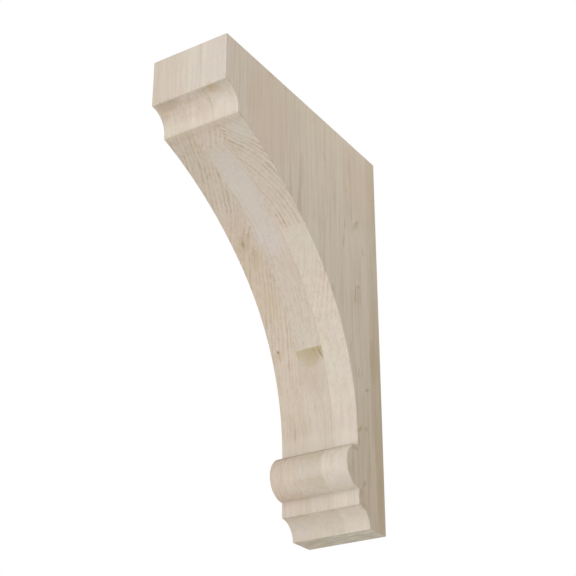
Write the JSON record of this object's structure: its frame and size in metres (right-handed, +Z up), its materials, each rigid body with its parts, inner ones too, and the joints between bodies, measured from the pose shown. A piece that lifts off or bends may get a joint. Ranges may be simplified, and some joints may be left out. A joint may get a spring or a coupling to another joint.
{
  "type": "wooden corbel bracket",
  "caption": "Wooden corbel bracket with a square projecting head, a long hollow arch, and a half-round bead and coves at its base; it fixes to a wall and carries a shelf or beam.",
  "frame": {"origin": "centre of the flat back face that lies against the wall", "axes": "+Z up, +Y into the wall, so the corbel stands out towards -Y; X along the wall"},
  "size_m": [0.0636, 0.2032, 0.3048],
  "materials": {
    "maple": "unfinished, sanded smooth, matte"
  },
  "bodies": {
    "root": {"bracket": "maple"}
  },
  "joints": []
}
